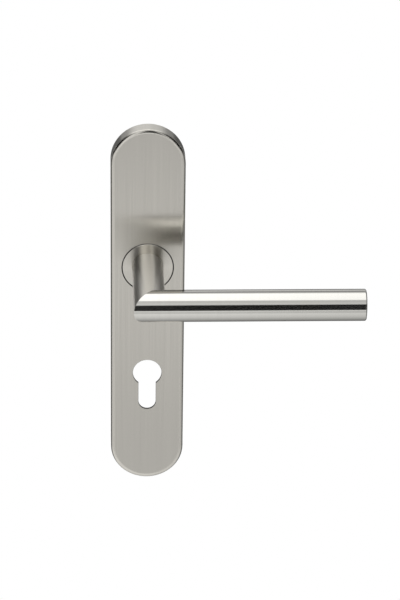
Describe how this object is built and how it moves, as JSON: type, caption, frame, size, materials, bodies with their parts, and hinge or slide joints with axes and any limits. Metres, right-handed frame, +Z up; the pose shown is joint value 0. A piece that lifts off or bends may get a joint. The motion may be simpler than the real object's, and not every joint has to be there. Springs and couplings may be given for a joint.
{
  "type": "lever door handle on backplate",
  "caption": "Mitred round-bar lever handle on a long round-ended backplate with a euro-profile cylinder cut-out, sprung, concealed fixing.",
  "frame": {"origin": "where the spindle's axis meets the door's face, the plane of the plate's back", "axes": "+X to the right as the lever points, seen from the front; +Y into the door, along the spindle; +Z up along the plate"},
  "size_m": [0.1505, 0.1315, 0.236],
  "materials": {
    "satin_stainless": "satin, brushed along the length of each piece",
    "bright_steel": "drawn bar, bare",
    "zinc_plated_steel": "zinc plated",
    "spring_steel": "hardened, oiled",
    "black_steel": "black oxide",
    "black_nylon": "glass-filled, moulded",
    "white_acetal": "machined, smooth"
  },
  "bodies": {
    "backplate": {"cover_plate": "satin_stainless", "base_plate": "black_nylon", "bearing_bush": "white_acetal", "thrust_washer": "white_acetal", "return_spring": "spring_steel", "spring_anchor_pin": "zinc_plated_steel", "housing_cover": "zinc_plated_steel", "housing_screw_upper": "zinc_plated_steel", "housing_screw_lower": "zinc_plated_steel", "support_stud_upper": "zinc_plated_steel", "support_stud_lower": "zinc_plated_steel", "fixing_screw_upper": "zinc_plated_steel", "fixing_screw_lower": "zinc_plated_steel", "cover_clip_1": "spring_steel", "cover_clip_2": "spring_steel", "cover_clip_3": "spring_steel", "cover_clip_4": "spring_steel"},
    "lever": {"lever_neck": "satin_stainless", "lever_grip": "satin_stainless", "grip_end_cap": "satin_stainless", "collar_disc": "satin_stainless", "hub_insert": "bright_steel", "driver_plate": "zinc_plated_steel", "retaining_ring": "spring_steel", "square_spindle": "bright_steel", "spindle_grub_screw": "black_steel"}
  },
  "joints": [
    {"name": "lever_turn", "type": "hinge", "parent": "backplate", "child": "lever", "pos_m": [0, 0, 0], "axis": [0, 1, 0], "range_deg": [0, 45], "stiffness_Nm_per_rad": 0.75, "springref_deg": -51.57, "deforming": ["return_spring"]}
  ]
}
